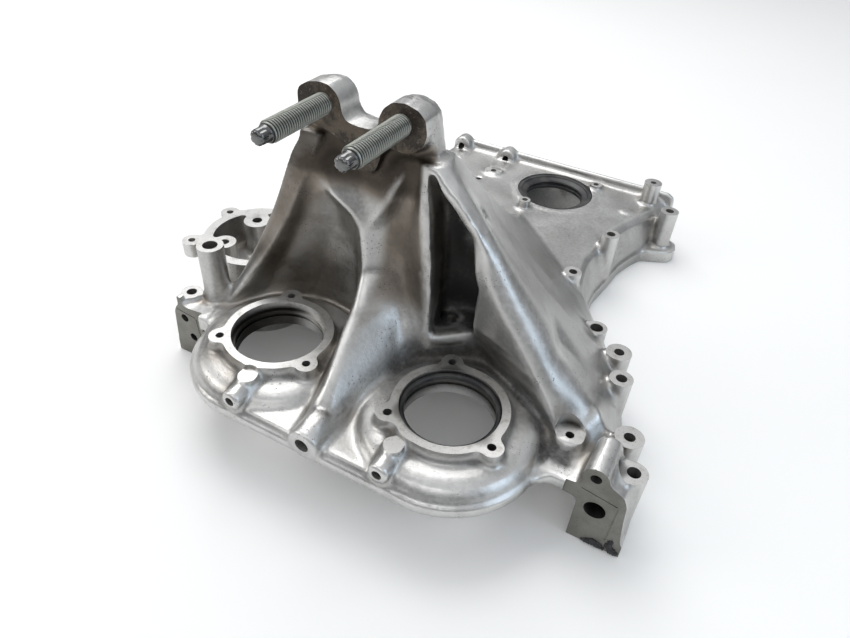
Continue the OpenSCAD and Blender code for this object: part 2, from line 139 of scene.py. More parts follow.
# position, radius, top, hole, depth
DECK_BOSSES = [
    ((151.0, 335.0), 7.2, 60.6, 5.0, 20.0), ((59.0, 262.0), 4.6, 48.6, 5.0, 7.0),
    ((8.5, 309.0), 7.2, 42.2, 5.5, 6.0), (WING_BOSS, 8.0, BOSS_Z, 5.0, 12.0),
    ((102.0, 333.0), 5.2, 45.0, 5.0, 10.0)]
PORT_EARS = [(-120.0, 91.0), (-116.0, 46.0)]
# position, radius, hole
PORT_BOSSES = [((-95.0, 57.0), 8.0, 6.6), ((-95.0, 93.0), 9.8, 7.4)]
# holes without a boss: position, diameter, top, depth
PLAIN_HOLES = [((86.0, 62.0), 12.0, RING_Z - 4.0, 8.0), ((2.0, 290.0), 4.5, DECK_Z, 9.0)]
# holes along Y in the front: x, y of the mouth, z, radius, depth
FRONT_HOLES = [
    (MID_BOSS[0], -56.8, MID_BOSS[1], 4.3, 44.8), (LUG_X[0], -55.2, LUG_Z, 2.9, 15.2),
    (LUG_X[1], -55.2, LUG_Z, 2.9, 15.2), (LEG_BOSS[0], 0.0, LEG_BOSS[1], 3.1, 16.0),
    (LEG_HOLE[0], 0.0, LEG_HOLE[1], 6.1, 20.0), (-84.0, 0.0, RING_Z - 27.3, 3.1, 7.0),
    (-79.2, 0.0, RING_Z - 42.5, 3.1, 7.0)]
# lumps of sealant at the foot of the right end block: x, z, radius
SEALANT_LUMPS = [
    (208.4, 1.0, 1.5), (211.0, 2.0, 2.3), (213.8, 3.0, 2.8), (216.6, 2.4, 2.5), (219.4, 1.3, 1.6),
    (222.4, 5.6, 2.4), (222.8, 9.4, 1.7), (224.6, 2.6, 2.6), (226.8, 1.6, 1.8)]
# steps in the joint faces of the end blocks, from x and z to x and z
FACE_LINES = [
    ((199.0, 42.6), (219.3, 39.3)), ((219.9, 38.4), (219.2, 9.0)),
    ((-92.0, 39.5), (-74.0, 37.5)), ((-73.2, 36.6), (-71.5, 12.0))]
# star drive of the studs: radius, height, share of the dents
STAR_TIP = [
    (4.45, 0.0, 0.0), (4.3, 0.25, 0.0), (4.25, 1.6, 0.0), (4.25, 2.2, 0.7), (4.2, 2.6, 1.0),
    (4.2, 5.2, 1.0), (4.0, 6.3, 1.0), (3.5, 7.0, 0.9), (2.6, 7.4, 0.6), (1.2, 7.6, 0.2)]
# outlines of the seals: radius, height over the face that they sit in
SHAFT_R = 25.0
CRANK_SEAL = [
    (CRANK_BORE, -9.0), (CRANK_BORE, -0.9), (CRANK_BORE - 0.7, -0.2), (CRANK_BORE - 3.6, -0.2),
    (CRANK_BORE - 4.0, -1.2), (29.2, -1.4), (SHAFT_R + 1.2, -2.6), (SHAFT_R, -3.6),
    (SHAFT_R + 0.6, -4.4), (27.4, -4.6), (27.4, -6.0), (SHAFT_R + 0.5, -7.0),
    (SHAFT_R + 0.1, -7.8), (26.4, -10.4), (28.4, -10.4), (28.8, -5.8), (30.4, -4.4),
    (30.4, -9.0)]
OPENING_SEAL = [
    (CAM_BORE, -6.0), (CAM_BORE, -3.0), (28.0, -2.2), (26.8, -2.2), (25.8, -3.0), (25.8, -5.4),
    (26.4, -6.0)]
# the fitted camera: the picture's width and the focal length in pixels, the sensor in mm
IMAGE_PIXELS = 850.0
FOCAL_PIXELS = 653.84
SENSOR_WIDTH = 36.0
# name, place, target, size, power, colour
LAMPS = [
    ("key", (-0.6, 0.5, 1.35), (0.0, 0.0, 0.05), (1.1, 1.1), 13.0, (1.0, 1.0, 1.0)),
    ("front", (0.2, -1.3, 1.3), (0.0, -0.05, 0.05), (1.3, 0.5), 2.6, (1.0, 1.0, 1.0)),
    ("left", (-1.2, -0.7, 0.9), (0.0, -0.1, 0.1), (0.8, 0.8), 4.5, (1.0, 0.98, 0.95)),
    ("right", (1.4, -0.2, 0.7), (0.0, -0.05, 0.1), (0.6, 0.9), 3.2, (0.66, 0.82, 1.0))]


def to_row(points):
    """Points in mm about the left cam opening to metres in the row frame."""
    return (np.asarray(points, float) - ORIGIN) / MM_PER_METRE


def new_object(name, verts, faces, materials):
    """Mesh object from points in metres in the row frame."""
    mesh = bpy.data.meshes.new(name)
    mesh.from_pydata([tuple(v) for v in verts], [], [tuple(f) for f in faces])
    mesh.update()
    for material in materials:
        mesh.materials.append(material)
    obj = bpy.data.objects.new(name, mesh)
    scene.collection.objects.link(obj)
    return obj


def smooth(obj, degrees):
    """Smooth shading that stays sharp where faces turn by more than the angle."""
    mesh = obj.data
    mesh.polygons.foreach_set("use_smooth", [True] * len(mesh.polygons))
    mesh.set_sharp_from_angle(angle=math.radians(degrees))
    mesh.update()


def outward(obj):
    """Turns all faces of a closed mesh outward."""
    bm = bmesh.new()
    bm.from_mesh(obj.data)
    bmesh.ops.recalc_face_normals(bm, faces=bm.faces)
    bm.to_mesh(obj.data)
    bm.free()


def grid_polygons(grid):
    """Points and outward faces of the surface at distance 0."""
    points, triangles, quads = grid.convertToPolygons(isovalue=0.0, adaptivity=0.0)
    faces = [tuple(q[::-1]) for q in quads.tolist()]
    faces += [tuple(t[::-1]) for t in triangles.tolist()]
    return points, faces, 2 * len(quads) + len(triangles)


# materials


class Nodes:
    """A material's node tree with short calls."""

    def __init__(self, name):
        self.material = bpy.data.materials.new(name)
        self.material.use_nodes = True
        self.tree = self.material.node_tree
        self.shader = self.tree.nodes["Principled BSDF"]
        self.place = self.tree.nodes.new("ShaderNodeTexCoord").outputs["Object"]

    def link(self, source, target):
        self.tree.links.new(source, target)

    def put(self, value, socket):
        if isinstance(value, bpy.types.NodeSocket):
            self.link(value, socket)
        else:
            socket.default_value = value

    def noise(self, scale, detail=3.0, rough=0.55):
        node = self.tree.nodes.new("ShaderNodeTexNoise")
        self.link(self.place, node.inputs["Vector"])
        node.inputs["Scale"].default_value = scale
        node.inputs["Detail"].default_value = detail
        node.inputs["Roughness"].default_value = rough
        return node.outputs["Fac"]

    def cells(self, scale):
        node = self.tree.nodes.new("ShaderNodeTexVoronoi")
        self.link(self.place, node.inputs["Vector"])
        node.inputs["Scale"].default_value = scale
        return node.outputs["Distance"]

    def attribute(self, name):
        node = self.tree.nodes.new("ShaderNodeAttribute")
        node.attribute_name = name
        return node.outputs["Fac"]

    def ramp(self, value, low, high, start=0.0, end=1.0):
        """Goes smoothly from start to end while the value goes from low to high."""
        node = self.tree.nodes.new("ShaderNodeMapRange")
        node.interpolation_type = "SMOOTHSTEP"
        self.put(value, node.inputs["Value"])
        node.inputs["From Min"].default_value = low
        node.inputs["From Max"].default_value = high
        node.inputs["To Min"].default_value = start
        node.inputs["To Max"].default_value = end
        return node.outputs["Result"]

    def math(self, operation, a, b=0.0):
        node = self.tree.nodes.new("ShaderNodeMath")
        node.operation = operation
        self.put(a, node.inputs[0])
        self.put(b, node.inputs[1])
        return node.outputs["Value"]

    def mix(self, factor, a, b):
        node = self.tree.nodes.new("ShaderNodeMix")
        node.data_type = "RGBA"
        self.put(factor, node.inputs["Factor"])
        self.put(a, node.inputs["A"])
        self.put(b, node.inputs["B"])
        return node.outputs["Result"]

    def bump(self, height, strength, distance):
        node = self.tree.nodes.new("ShaderNodeBump")
        self.link(height, node.inputs["Height"])
        node.inputs["Strength"].default_value = strength
        node.inputs["Distance"].default_value = distance
        self.link(node.outputs["Normal"], self.shader.inputs["Normal"])

    def set(self, **values):
        for name, value in values.items():
            self.put(value, self.shader.inputs[name.replace("_", " ").title()])


def rgb(r, g, b):
    return (r, g, b, 1.0)


def cast_material():
    n = Nodes("cast_aluminium")
    stain = n.attribute("stain")
    dirt_and_shade = n.attribute("dirt_and_shade")
    wear_and_highlight = n.attribute("wear_and_highlight")
    wide = n.noise(24.0, 4.0)
    patch = n.noise(75.0, 5.0, 0.65)
    fine = n.noise(420.0, 3.0, 0.6)
    grain = n.noise(1500.0, 2.0, 0.6)
    bright = n.mix(n.ramp(wide, 0.3, 0.7), rgb(0.47, 0.465, 0.452), rgb(0.60, 0.597, 0.585))
    bright = n.mix(n.ramp(patch, 0.5, 0.7, 0.0, 0.4), bright, rgb(0.36, 0.35, 0.33))
    bright = n.mix(n.ramp(fine, 0.62, 0.42, 0.0, 0.25), bright, rgb(0.30, 0.29, 0.275))
    # brown oil film, mostly on the tower and in the hollows
    film = n.math("ADD", stain, n.math("MULTIPLY", n.math("SUBTRACT", wide, 0.5), 0.5))
    film = n.math("ADD", film, n.math("MULTIPLY", n.math("SUBTRACT", patch, 0.5), 0.35))
    film_mask = n.ramp(film, 0.12, 0.85, 0.0, 0.93)
    brown = n.mix(n.ramp(patch, 0.35, 0.65), rgb(0.185, 0.155, 0.125), rgb(0.31, 0.268, 0.225))
    colour = n.mix(film_mask, bright, brown)
    colour = n.mix(n.ramp(film, 0.55, 1.15, 0.0, 0.88), colour, rgb(0.050, 0.040, 0.031))
    # painted shade, near black, in the corners, deep hollows, deep pocket and left opening, with
    # some dirt round the rings
    shade_and_dirt_mix = n.math("ADD", dirt_and_shade, n.math("MULTIPLY", n.math("SUBTRACT", patch, 0.5), 0.45))
    shade_and_dirt_mix = n.math("ADD", shade_and_dirt_mix, n.math("MULTIPLY", n.math("SUBTRACT", fine, 0.5), 0.35))
    colour = n.mix(n.ramp(shade_and_dirt_mix, 0.12, 0.95, 0.0, 0.97), colour, rgb(0.012, 0.011, 0.010))
    # edges rubbed bright, which also paints a highlight along the convex edges
    rubbed_and_highlit = n.math("MULTIPLY", wear_and_highlight, n.ramp(patch, 0.32, 0.6, 0.45, 1.0))
    colour = n.mix(rubbed_and_highlit, colour, rgb(0.72, 0.715, 0.70))
    # pitting
    pits = n.ramp(n.cells(520.0), 0.24, 0.1)
    pits = n.math("MULTIPLY", pits, n.ramp(n.noise(60.0), 0.5, 0.66))
    colour = n.mix(n.math("MULTIPLY", pits, 0.75), colour, rgb(0.04, 0.036, 0.03))
    n.set(base_color=colour, metallic=n.ramp(shade_and_dirt_mix, 0.2, 0.9, 1.0, 0.2))
    rough = n.math("ADD", n.ramp(wide, 0.3, 0.7, 0.31, 0.41), n.ramp(film, 0.3, 0.9, 0.0, 0.05))
    rough = n.math("ADD", rough, n.ramp(shade_and_dirt_mix, 0.2, 0.9, 0.0, 0.12))
    n.set(roughness=n.math("ADD", rough, n.ramp(fine, 0.35, 0.7, -0.04, 0.06)))
    relief = n.math("ADD", n.math("MULTIPLY", fine, 0.6), n.math("MULTIPLY", grain, 0.4))
    relief = n.math("SUBTRACT", relief, n.math("MULTIPLY", pits, 0.8))
    n.bump(relief, 0.4, 0.0004)
    return n.material


def machined_material():
    n = Nodes("machined_aluminium")
    dirt_and_shade = n.attribute("dirt_and_shade")
    wide = n.noise(45.0, 3.0)
    patch = n.noise(160.0, 4.0, 0.6)
    fine = n.noise(900.0, 2.0)
    colour = n.mix(wide, rgb(0.47, 0.465, 0.452), rgb(0.60, 0.595, 0.58))
    colour = n.mix(n.ramp(patch, 0.52, 0.72, 0.0, 0.55), colour, rgb(0.27, 0.25, 0.22))
    colour = n.mix(n.ramp(fine, 0.58, 0.72, 0.0, 0.5), colour, rgb(0.24, 0.22, 0.20))
    # painted shade, with some dirt, from the same attribute darkens the machined faces in bores
    # and hollows
    colour = n.mix(n.ramp(dirt_and_shade, 0.1, 0.8, 0.0, 0.95), colour, rgb(0.022, 0.019, 0.016))
    n.set(base_color=colour, metallic=1.0, roughness=n.ramp(wide, 0.3, 0.7, 0.37, 0.48))
    n.bump(fine, 0.15, 0.0002)
    return n.material


def joint_material():
    # a darker, duller copy of the machined finish for the end blocks' front joint faces; the
    # darkness is partly painted shade on these front faces
    n = Nodes("joint_face_dull_and_shaded")
    wide = n.noise(50.0, 4.0, 0.6)
    fine = n.noise(800.0, 3.0, 0.6)
    colour = n.mix(n.ramp(wide, 0.3, 0.7), rgb(0.17, 0.165, 0.145), rgb(0.27, 0.265, 0.24))
    colour = n.mix(n.ramp(fine, 0.55, 0.75, 0.0, 0.5), colour, rgb(0.07, 0.065, 0.055))
    n.set(base_color=colour, metallic=0.55, roughness=n.ramp(wide, 0.3, 0.7, 0.42, 0.55))
    n.bump(fine, 0.2, 0.0002)
    return n.material


def pad_material():
    n = Nodes("rough_pad")
    wide = n.noise(80.0, 5.0, 0.68)
    fine = n.noise(700.0, 3.0, 0.65)
    colour = n.mix(n.ramp(wide, 0.4, 0.62), rgb(0.030, 0.022, 0.017), rgb(0.12, 0.095, 0.068))
    colour = n.mix(n.ramp(fine, 0.54, 0.74, 0.0, 0.6), colour, rgb(0.26, 0.235, 0.20))
    n.set(base_color=colour, metallic=0.3, roughness=n.ramp(fine, 0.3, 0.7, 0.5, 0.7))
    n.bump(fine, 0.6, 0.0006)
    return n.material


def stud_material():
    n = Nodes("zinc_thread")
    wide = n.noise(120.0, 3.0)
    fine = n.noise(1100.0, 2.0)
    colour = n.mix(wide, rgb(0.26, 0.272, 0.25), rgb(0.44, 0.455, 0.42))
    colour = n.mix(n.ramp(fine, 0.5, 0.75, 0.0, 0.5), colour, rgb(0.16, 0.155, 0.14))
    # painted shade in the roots of the thread
    root_shade = n.ramp(n.attribute("root"), 0.15, 0.75, 0.0, 0.92)
    colour = n.mix(root_shade, colour, rgb(0.016, 0.015, 0.013))
    n.set(base_color=colour, metallic=0.9, roughness=n.ramp(wide, 0.3, 0.7, 0.34, 0.5))
    n.bump(fine, 0.2, 0.0002)
    return n.material


def tip_material():
    n = Nodes("dark_steel_tip")
    wide = n.noise(200.0, 3.0)
    colour = n.mix(wide, rgb(0.09, 0.09, 0.092), rgb(0.26, 0.26, 0.255))
    n.set(base_color=colour, metallic=1.0, roughness=n.ramp(wide, 0.3, 0.7, 0.18, 0.32))
    n.bump(n.noise(900.0), 0.15, 0.0002)
    return n.material


def rubber_material():
    n = Nodes("black_rubber")
    wide = n.noise(90.0, 3.0)
    fine = n.noise(1400.0, 2.0)
    colour = n.mix(n.ramp(wide, 0.4, 0.7), rgb(0.012, 0.012, 0.014), rgb(0.05, 0.048, 0.046))
    n.set(base_color=colour, roughness=n.ramp(wide, 0.3, 0.7, 0.34, 0.55))
    n.bump(fine, 0.2, 0.0002)
    return n.material


def sealant_material():
    n = Nodes("old_sealant")
    wide = n.noise(260.0, 4.0)
    colour = n.mix(n.ramp(wide, 0.4, 0.7), rgb(0.010, 0.010, 0.012), rgb(0.06, 0.06, 0.062))
    n.set(base_color=colour, roughness=n.ramp(wide, 0.3, 0.7, 0.3, 0.6))
    n.bump(wide, 0.6, 0.001)
    return n.material


CAST = cast_material()
MACHINED = machined_material()
PAD = pad_material()
JOINT = joint_material()
THREAD = stud_material()
TIP = tip_material()
RUBBER = rubber_material()
SEALANT = sealant_material()


# the casting as a field of distances


class Field:
    """Distance to the casting's skin in mm on a regular grid, negative inside."""

    def __init__(self, obj):
        mesh = obj.data
        mesh.calc_loop_triangles()
        points = np.empty(len(mesh.vertices) * 3, np.float32)
        mesh.vertices.foreach_get("co", points)
        points = points.reshape(-1, 3) * MM_PER_METRE + ORIGIN.astype(np.float32)
        triangles = np.empty(len(mesh.loop_triangles) * 3, np.int32)
        mesh.loop_triangles.foreach_get("vertices", triangles)
        triangles = triangles.reshape(-1, 3).astype(np.uint32)
        self.transform = openvdb.createLinearTransform(VOXEL)
        grid = openvdb.FloatGrid.createLevelSetFromPolygons(
            points, triangles=triangles,
            transform=self.transform, halfWidth=BAND / VOXEL)
        pad = 10
        self.low = np.floor(points.min(0) / VOXEL).astype(int) - pad
        high = np.ceil(points.max(0) / VOXEL).astype(int) + pad
        self.values = np.full(tuple(high - self.low + 1), BAND, np.float32)
        grid.copyToArray(self.values, ijk=tuple(int(i) for i in self.low))

    def axes(self, low, high):
        """Slices and grid coordinates of the cells inside a box in mm."""
        first = np.clip(np.floor(np.array(low) / VOXEL).astype(int) - self.low, 0, None)
        last = np.ceil(np.array(high) / VOXEL).astype(int) - self.low + 1
        last = np.minimum(last, self.values.shape)
        cut = tuple(slice(a, b) for a, b in zip(first, last))
        line = [(np.arange(a, b) + o) * VOXEL for a, b, o in zip(first, last, self.low)]
        return cut, np.meshgrid(*line, indexing="ij", sparse=True)

    def coordinates(self):
        """Grid coordinates of all cells in mm."""
        line = [(np.arange(n) + o) * VOXEL for n, o in zip(self.values.shape, self.low)]
        return np.meshgrid(*line, indexing="ij", sparse=True)

    def add_post(self, centre, radius, z0, z1, inner=0.0):
        """Adds a round post along Z, or a ring where it has an inner radius."""
        low = (centre[0] - radius - BAND, centre[1] - radius - BAND, z0 - BAND)
        high = (centre[0] + radius + BAND, centre[1] + radius + BAND, z1 + BAND)
        cut, (x, y, z) = self.axes(low, high)
        r = np.hypot(x - centre[0], y - centre[1])
        wall = r - radius
        if inner > 0.0:
            wall = np.maximum(wall, inner - r)
        d = np.maximum(wall, np.maximum(z0 - z, z - z1))
        self.values[cut] = np.minimum(self.values[cut], d.astype(np.float32))

    def add_bar(self, centre, radius, y0, y1):
        """Adds a round bar along Y, about a centre in x and z."""
        low = (centre[0] - radius - BAND, y0 - BAND, centre[1] - radius - BAND)
        high = (centre[0] + radius + BAND, y1 + BAND, centre[1] + radius + BAND)
        cut, (x, y, z) = self.axes(low, high)
        wall = np.hypot(x - centre[0], z - centre[1]) - radius
        d = np.maximum(wall, np.maximum(y0 - y, y - y1))
        self.values[cut] = np.minimum(self.values[cut], d.astype(np.float32))

    def clear(self, low, high, y_face, z_floor):
        """Takes away what stands in front of a face and above a floor, inside a box."""
        cut, (_, y, z) = self.axes(low, high)
        d = np.maximum(y - y_face, z_floor - z)
        self.values[cut] = np.maximum(self.values[cut], -d.astype(np.float32))

    def draw_out(self, low, high, axis, place, reach):
        """Carries the section at a place on out to reach, so that it can be faced off."""
        cut, grid = self.axes(low, high)
        k = int(round(place / VOXEL)) - self.low[axis] - cut[axis].start
        block = self.values[cut]
        section = np.take(block, [k], axis=axis)
        along = grid[axis]
        side = 1.0 if reach > place else -1.0
        d = np.maximum(section, np.maximum(side * (place - along), side * (along - reach)))
        self.values[cut] = np.minimum(block, d.astype(np.float32))

    def sample(self, values, points, step):
        """Values of a coarser grid at points in mm, between its points by straight lines."""
        p = (points - self.low * VOXEL) / step
        p = np.clip(p, 0.0, np.array(values.shape) - 1.001)
        i = np.floor(p).astype(int)
        f = p - i
        out = np.zeros(len(points))
        for corner in range(8):
            c = np.array([(corner >> k) & 1 for k in range(3)])
            weight = np.prod(np.where(c == 1, f, 1.0 - f), axis=1)
            j = i + c
            out += weight * values[j[:, 0], j[:, 1], j[:, 2]]
        return out

    def polygons(self):
        """The skin as points and faces, with the number of triangles that they make."""
        grid = openvdb.FloatGrid(BAND)
        grid.transform = self.transform
        grid.copyFromArray(self.values, ijk=tuple(int(i) for i in self.low))
        return grid_polygons(grid)


def blur(values, sigma, step=VOXEL):
    """Gaussian average over sigma mm."""
    reach = int(math.ceil(2.6 * sigma / step))
    weights = np.exp(-0.5 * (np.arange(-reach, reach + 1) * step / sigma) ** 2)
    weights = (weights / weights.sum()).astype(np.float32)
    for axis in range(3):
        room = [(reach, reach) if a == axis else (0, 0) for a in range(3)]
        wide = np.pad(values, room, mode="edge")
        out = np.zeros_like(values)
        for k, weight in enumerate(weights):
            part = [slice(None)] * 3
            part[axis] = slice(k, k + values.shape[axis])
            out += weight * wide[tuple(part)]
        values = out
    return values


def ramp(value, low, high):
    """Goes smoothly from 0 at low to 1 at high, where low may be the larger of the two."""
    t = np.clip((value - low) / (high - low), 0.0, 1.0)
    return t * t * (3.0 - 2.0 * t)


def window(value, start, full, fade, end):
    """Rises smoothly from 0 at start to 1 at full, and falls from fade to 0 at end."""
    return ramp(value, start, full) * ramp(value, end, fade)


# cutters for the machined faces and holes


def circle(radius, segments, shift):
    """Points of a circle about its centre, turned by a share of a segment."""
    turns = [2.0 * math.pi * (k + shift) / segments for k in range(segments)]
    return [(radius * math.cos(a), radius * math.sin(a)) for a in turns]


def lobed(radius, ears, ear_radius):
    """Outline of a disc with round ears, as points about the disc's centre."""
    segments = 256
    outline = []
    for k in range(segments):
        a = 2.0 * math.pi * k / segments
        reach = radius
        for x, y in ears:
            along = x * math.cos(a) + y * math.sin(a)
            across = y * math.cos(a) - x * math.sin(a)
            if along > 0.0 and abs(across) < ear_radius:
                reach = max(reach, along + math.sqrt(ear_radius ** 2 - across ** 2))
        outline.append((reach * math.cos(a), reach * math.sin(a)))
    return outline


def prism(bm, outline, base, direction, length, slot=FACED, rows=1):
    """Closed prism from base along a direction, in mm, its ends divided into rows or whole."""
    turn = Vector(UP).rotation_difference(Vector(direction)).to_matrix()
    count = len(outline)

    def point(x, y, height):
        p = np.array(base, float) + np.array(turn @ Vector((x, y, height)))
        return bm.verts.new(to_row(p))

    def band(lower, upper):
        for k in range(count):
            n = (k + 1) % count
            bm.faces.new((lower[k], lower[n], upper[n], upper[k])).material_index = slot

    edges = []
    for height in (0.0, length):
        if rows == 0:
            edges.append([point(x, y, height) for x, y in outline])
            bm.faces.new(edges[-1]).material_index = slot
            continue
        rings = []
        for row in range(rows):
            share = 1.0 - row / rows
            rings.append([point(x * share, y * share, height) for x, y in outline])
        for outer, inner in zip(rings, rings[1:]):
            band(outer, inner)
        middle = point(0.0, 0.0, height)
        last = rings[-1]
        for k in range(count):
            bm.faces.new((last[k], last[(k + 1) % count], middle)).material_index = slot
        edges.append(rings[0])
    band(edges[0], edges[1])


def rod(bm, base, direction, radius, length):
    """Round cutter from base along a direction."""
    prism(bm, circle(radius, 64, 0.5), base, direction, length, rows=0)


def down(bm, p, radius, z_top, depth, above, segments=64, rows=1, shift=0.0):
    """Round cutter from a depth below z_top to some way above it."""
    base = (p[0], p[1], z_top - depth)
    prism(bm, circle(radius, segments, shift), base, UP, depth + above, rows=rows)


def hole(bm, p, diameter, z_top, depth):
    """Cutter of a drilled hole."""
    down(bm, p, diameter / 2.0, z_top, depth, CUTTER_OUT, rows=0, shift=0.5)


def opening(bm, p, radius, z_top, depth, above, shift, rows=1):
    """Cutter of a large round opening."""
    down(bm, p, radius, z_top, depth, above, 128, rows, shift)


def block(bm, low, high, slot, cells):
    """Closed box between two corners in mm, each face divided into cells by cells."""
    low = to_row(low)
    size = to_row(high) - low
    made = {}

    def corner(key):
        if key not in made:
            made[key] = bm.verts.new(low + size * np.array(key) / cells)
        return made[key]

    for axis in range(3):
        for side in (0, cells):
            for u in range(cells):
                for v in range(cells):
                    ring = []
                    for du, dv in ((0, 0), (1, 0), (1, 1), (0, 1)):
                        key = [0, 0, 0]
                        key[axis] = side
                        key[(axis + 1) % 3] = u + du
                        key[(axis + 2) % 3] = v + dv
                        ring.append(corner(tuple(key)))
                    bm.faces.new(ring).material_index = slot


def apply(obj):
    """Puts what the object's modifiers make in place of its mesh."""
    depsgraph = bpy.context.evaluated_depsgraph_get()
    result = bpy.data.meshes.new_from_object(obj.evaluated_get(depsgraph))
    obj.modifiers.clear()
    old = obj.data
    obj.data = result
    bpy.data.meshes.remove(old)


def cut(obj, make):
    """Takes away the closed shapes that make() adds to a bmesh."""
    bm = bmesh.new()
    make(bm)
    bmesh.ops.recalc_face_normals(bm, faces=bm.faces)
    mesh = bpy.data.meshes.new("cutter")
    bm.to_mesh(mesh)
    bm.free()
    for material in obj.data.materials:
        mesh.materials.append(material)
    tool = bpy.data.objects.new("cutter", mesh)
    scene.collection.objects.link(tool)
    modifier = obj.modifiers.new("cut", "BOOLEAN")
    modifier.operation = "DIFFERENCE"
    modifier.object = tool
    modifier.solver = "MANIFOLD"
    apply(obj)
    bpy.data.objects.remove(tool)
    bpy.data.meshes.remove(mesh)


def screw_places():
    """Screw ears of a cam ring about its centre."""
    turns = [math.radians(a) for a in SCREW_ANGLES]
    return [(SCREW_R * math.cos(t), SCREW_R * math.sin(t)) for t in turns]


def face_cutters(bm):
    """Planes of the machined tops."""
    for p, r, top, _ in FLANGE_BOSSES:
        down(bm, p, r + 1.6, top, 0.0, BOSS_CUT)
    ring = lobed(RING_R + 0.9, screw_places(), RING_EAR_R + 1.0)
    for x in CAM_X:
        prism(bm, ring, (x, 0.0, RING_Z), UP, FACE_CUT, rows=12)
    ears = [(p[0] - PORT[0], p[1] - PORT[1]) for p in PORT_EARS]
    port = lobed(PORT_R + 1.2, ears, PORT_EAR_R + 1.0)
    prism(bm, port, (PORT[0], PORT[1], RING_Z), UP, FACE_CUT, rows=12)
    down(bm, TUBE, TUBE_R + 1.8, TUBE_TOP, 0.0, FACE_CUT)


def boss_cutters(bm):
    """Planes of the deck's bosses and of the round pads on the front lugs."""
    for p, r, top, _, _ in DECK_BOSSES:
        down(bm, p, r + 1.2, top, 0.0, WING_BOSS_CUT if p == WING_BOSS else BOSS_CUT)
    for x in LUG_X:
        down(bm, (x, LUG_Y), LUG_R, LUG_TOP, 0.0, STOCK)


def hole_cutters(bm):
    """Openings, screw holes and stud holes."""
    for p, _, top, diameter in FLANGE_BOSSES:
        hole(bm, p, diameter, top, top + 4.0)
    for p, _, top, diameter, depth in DECK_BOSSES:
        hole(bm, p, diameter, top, depth)
    for x in CAM_X:
        opening(bm, (x, 0.0), CAM_BORE, RING_Z, CAM_SEAT, CUTTER_OUT, BORE_TURN)
        for px, py in screw_places():
            hole(bm, (x + px, py), SCREW_HOLE, RING_Z, 14.0)
    opening(bm, CRANK, CRANK_BORE, DECK_Z, CRANK_SEAT, CUTTER_OUT, BORE_TURN)
    hole(bm, TUBE, TUBE_HOLE, TUBE_TOP, 60.0)
    for p in PORT_EARS:
        hole(bm, p, SCREW_HOLE, RING_Z, 13.0)
    for p, _, diameter in PORT_BOSSES:
        hole(bm, p, diameter, RING_Z, 22.0)
    for p, diameter, top, depth in PLAIN_HOLES:
        hole(bm, p, diameter, top, depth)
    for x, y, z, radius, depth in FRONT_HOLES:
        rod(bm, (x, y + depth, z), FORWARD, radius, depth + 6.0)
    for x, z in RIM_HOLES:
        rod(bm, (x, RIM_FACE - 2.5, z), BACKWARD, RIM_HOLE_R, 22.0)
    for x in STUD_X:
        rod(bm, (x, MOUNT_Y + 15.0, STUD_Z), FORWARD, STUD_R, 30.0)
    x, z = THIRD_HOLE
    rod(bm, (x, MOUNT_Y + 16.0, z), FORWARD, THIRD_HOLE_R, 30.0)


def step_cutters(bm):
    """Narrower bores under the openings, begun a little above the seats."""
    cam_top = RING_Z - CAM_SEAT + 1.0
    for x in CAM_X:
        opening(bm, (x, 0.0), CAM_STEP, cam_top, 16.0, 0.0, STEP_TURN, rows=0)
    crank_top = DECK_Z - CRANK_SEAT + 1.0
    opening(bm, CRANK, CRANK_STEP, crank_top, 12.0, 0.0, STEP_TURN, rows=0)


def groove_cutters(bm):
    """Grooves in the cam openings and the far faces of the rim's ears."""
    for x in CAM_X:
        opening(bm, (x, 0.0), CAM_GROOVE, RING_Z - 8.0, 2.4, 0.0, GROOVE_TURN)
    for x, z in RIM_HOLES:
        rod(bm, (x, RIM_BACK, z), BACKWARD, RIM_EAR_R + 1.0, 4.0)


def pad_cutters(bm):
    """Flat mount face round the studs and the joint faces of the two end blocks."""
    front = MOUNT_Y - 9.0
    block(bm, (-12.0, front, RING_Z + 113.0), (80.0, MOUNT_Y, RING_Z + 152.0), PAD_FACE, 20)
    block(bm, (190.0, -12.0, -9.0), (236.0, 0.0, 72.0), JOINT_FACE, 18)
    block(bm, (-104.0, -12.0, -9.0), (-66.0, 0.0, 52.0), JOINT_FACE, 16)


def foot_cutter(bm):
    """Foot of the mount face, round its third hole."""
    front = MOUNT_Y - 9.0
    block(bm, (21.0, front, RING_Z + 98.5), (51.0, MOUNT_Y, RING_Z + 116.0), PAD_FACE, 12)


def line_cutters(bm):
    """Narrow steps in the joint faces of the two end blocks."""
    half = 0.4
    square = [(half, half), (-half, half), (-half, -half), (half, -half)]
    for start, end in FACE_LINES:
        a = np.array((start[0], 0.0, start[1]))
        b = np.array((end[0], 0.0, end[1]))
        prism(bm, square, a, b - a, float(np.linalg.norm(b - a)), JOINT_FACE)


def joint_cutter(bm):
    """The joint face under the whole cover."""
    block(bm, (-150.0, -80.0, -20.0), (250.0, 370.0, 0.0), FACED, 72)


# the casting


